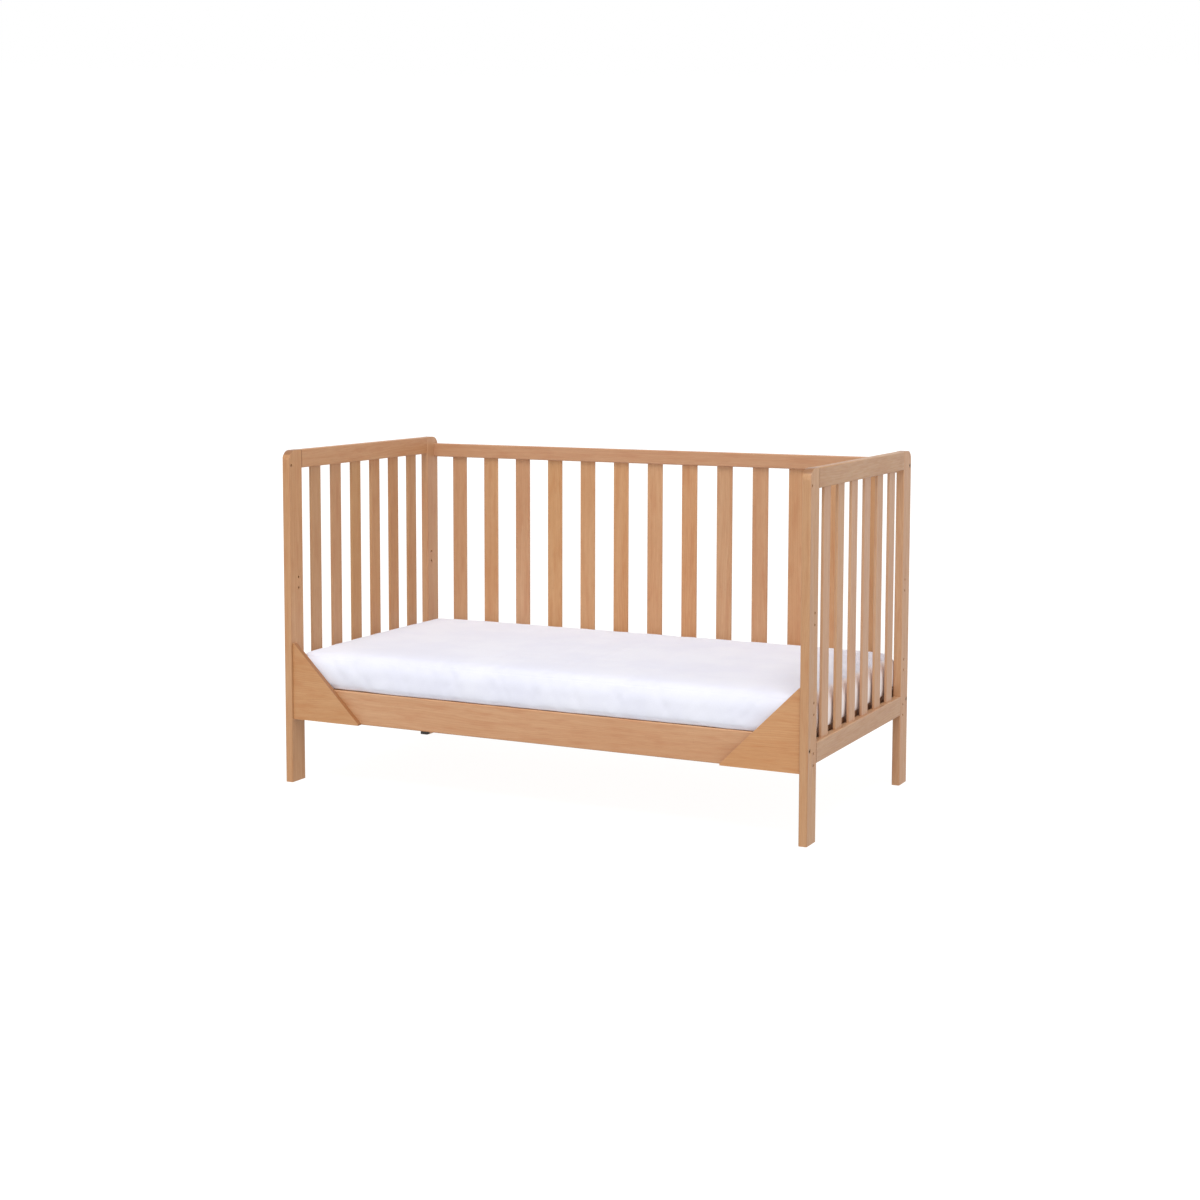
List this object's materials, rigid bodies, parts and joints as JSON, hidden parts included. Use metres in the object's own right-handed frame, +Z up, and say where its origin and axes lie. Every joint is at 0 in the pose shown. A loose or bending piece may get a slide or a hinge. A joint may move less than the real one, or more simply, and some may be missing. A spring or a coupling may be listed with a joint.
{
  "type": "cot bed",
  "caption": "Wooden cot bed with slatted ends and back, an open front with a low rail and corner boards, and a mattress on a height-adjustable base.",
  "frame": {"origin": "on the floor, under the middle of the bed's footprint", "axes": "+X along the bed towards its right end, +Y towards the slatted back, +Z up"},
  "size_m": [1.45, 0.755, 0.874],
  "materials": {
    "pine": "satin clear-lacquered pine with fine grain",
    "zinc_steel": "zinc-plated steel",
    "dark_plastic": "moulded matte",
    "mattress_cover": "smooth woven white cover"
  },
  "bodies": {
    "bed_frame": {"left_front_post": "pine", "left_rear_post": "pine", "left_top_rail": "pine", "left_bottom_rail": "pine", "right_front_post": "pine", "right_rear_post": "pine", "right_top_rail": "pine", "right_bottom_rail": "pine", "left_slat_1": "pine", "left_slat_2": "pine", "left_slat_3": "pine", "left_slat_4": "pine", "left_slat_5": "pine", "left_slat_6": "pine", "right_slat_1": "pine", "right_slat_2": "pine", "right_slat_3": "pine", "right_slat_4": "pine", "right_slat_5": "pine", "right_slat_6": "pine", "back_top_rail": "pine", "back_bottom_rail": "pine", "back_slat_1": "pine", "back_slat_2": "pine", "back_slat_3": "pine", "back_slat_4": "pine", "back_slat_5": "pine", "back_slat_6": "pine", "back_slat_7": "pine", "back_slat_8": "pine", "back_slat_9": "pine", "back_slat_10": "pine", "back_slat_11": "pine", "back_slat_12": "pine", "back_slat_13": "pine", "front_rail": "pine", "left_corner_board": "pine", "right_corner_board": "pine", "rail_clip": "dark_plastic", "end_dowels": "pine", "locating_dowels": "pine", "panel_bolts": "zinc_steel", "barrel_nuts": "zinc_steel", "rail_screws": "zinc_steel", "support_pins": "zinc_steel"},
    "slatted_base": {"base_front_rail": "pine", "base_rear_rail": "pine", "base_left_rail": "pine", "base_right_rail": "pine", "base_cross_slats": "pine", "base_dowels": "pine", "base_screws": "zinc_steel", "left_hanger_bar": "zinc_steel", "right_hanger_bar": "zinc_steel"},
    "mattress": {"mattress": "mattress_cover"}
  },
  "joints": [
    {"name": "base_height", "type": "slide", "parent": "bed_frame", "child": "slatted_base", "axis": [0, 0, 1], "range_m": [0, 0.328]},
    {"name": "mattress_lift", "type": "slide", "parent": "slatted_base", "child": "mattress", "axis": [0, 0, 1], "range_m": [0, 0.65]}
  ]
}
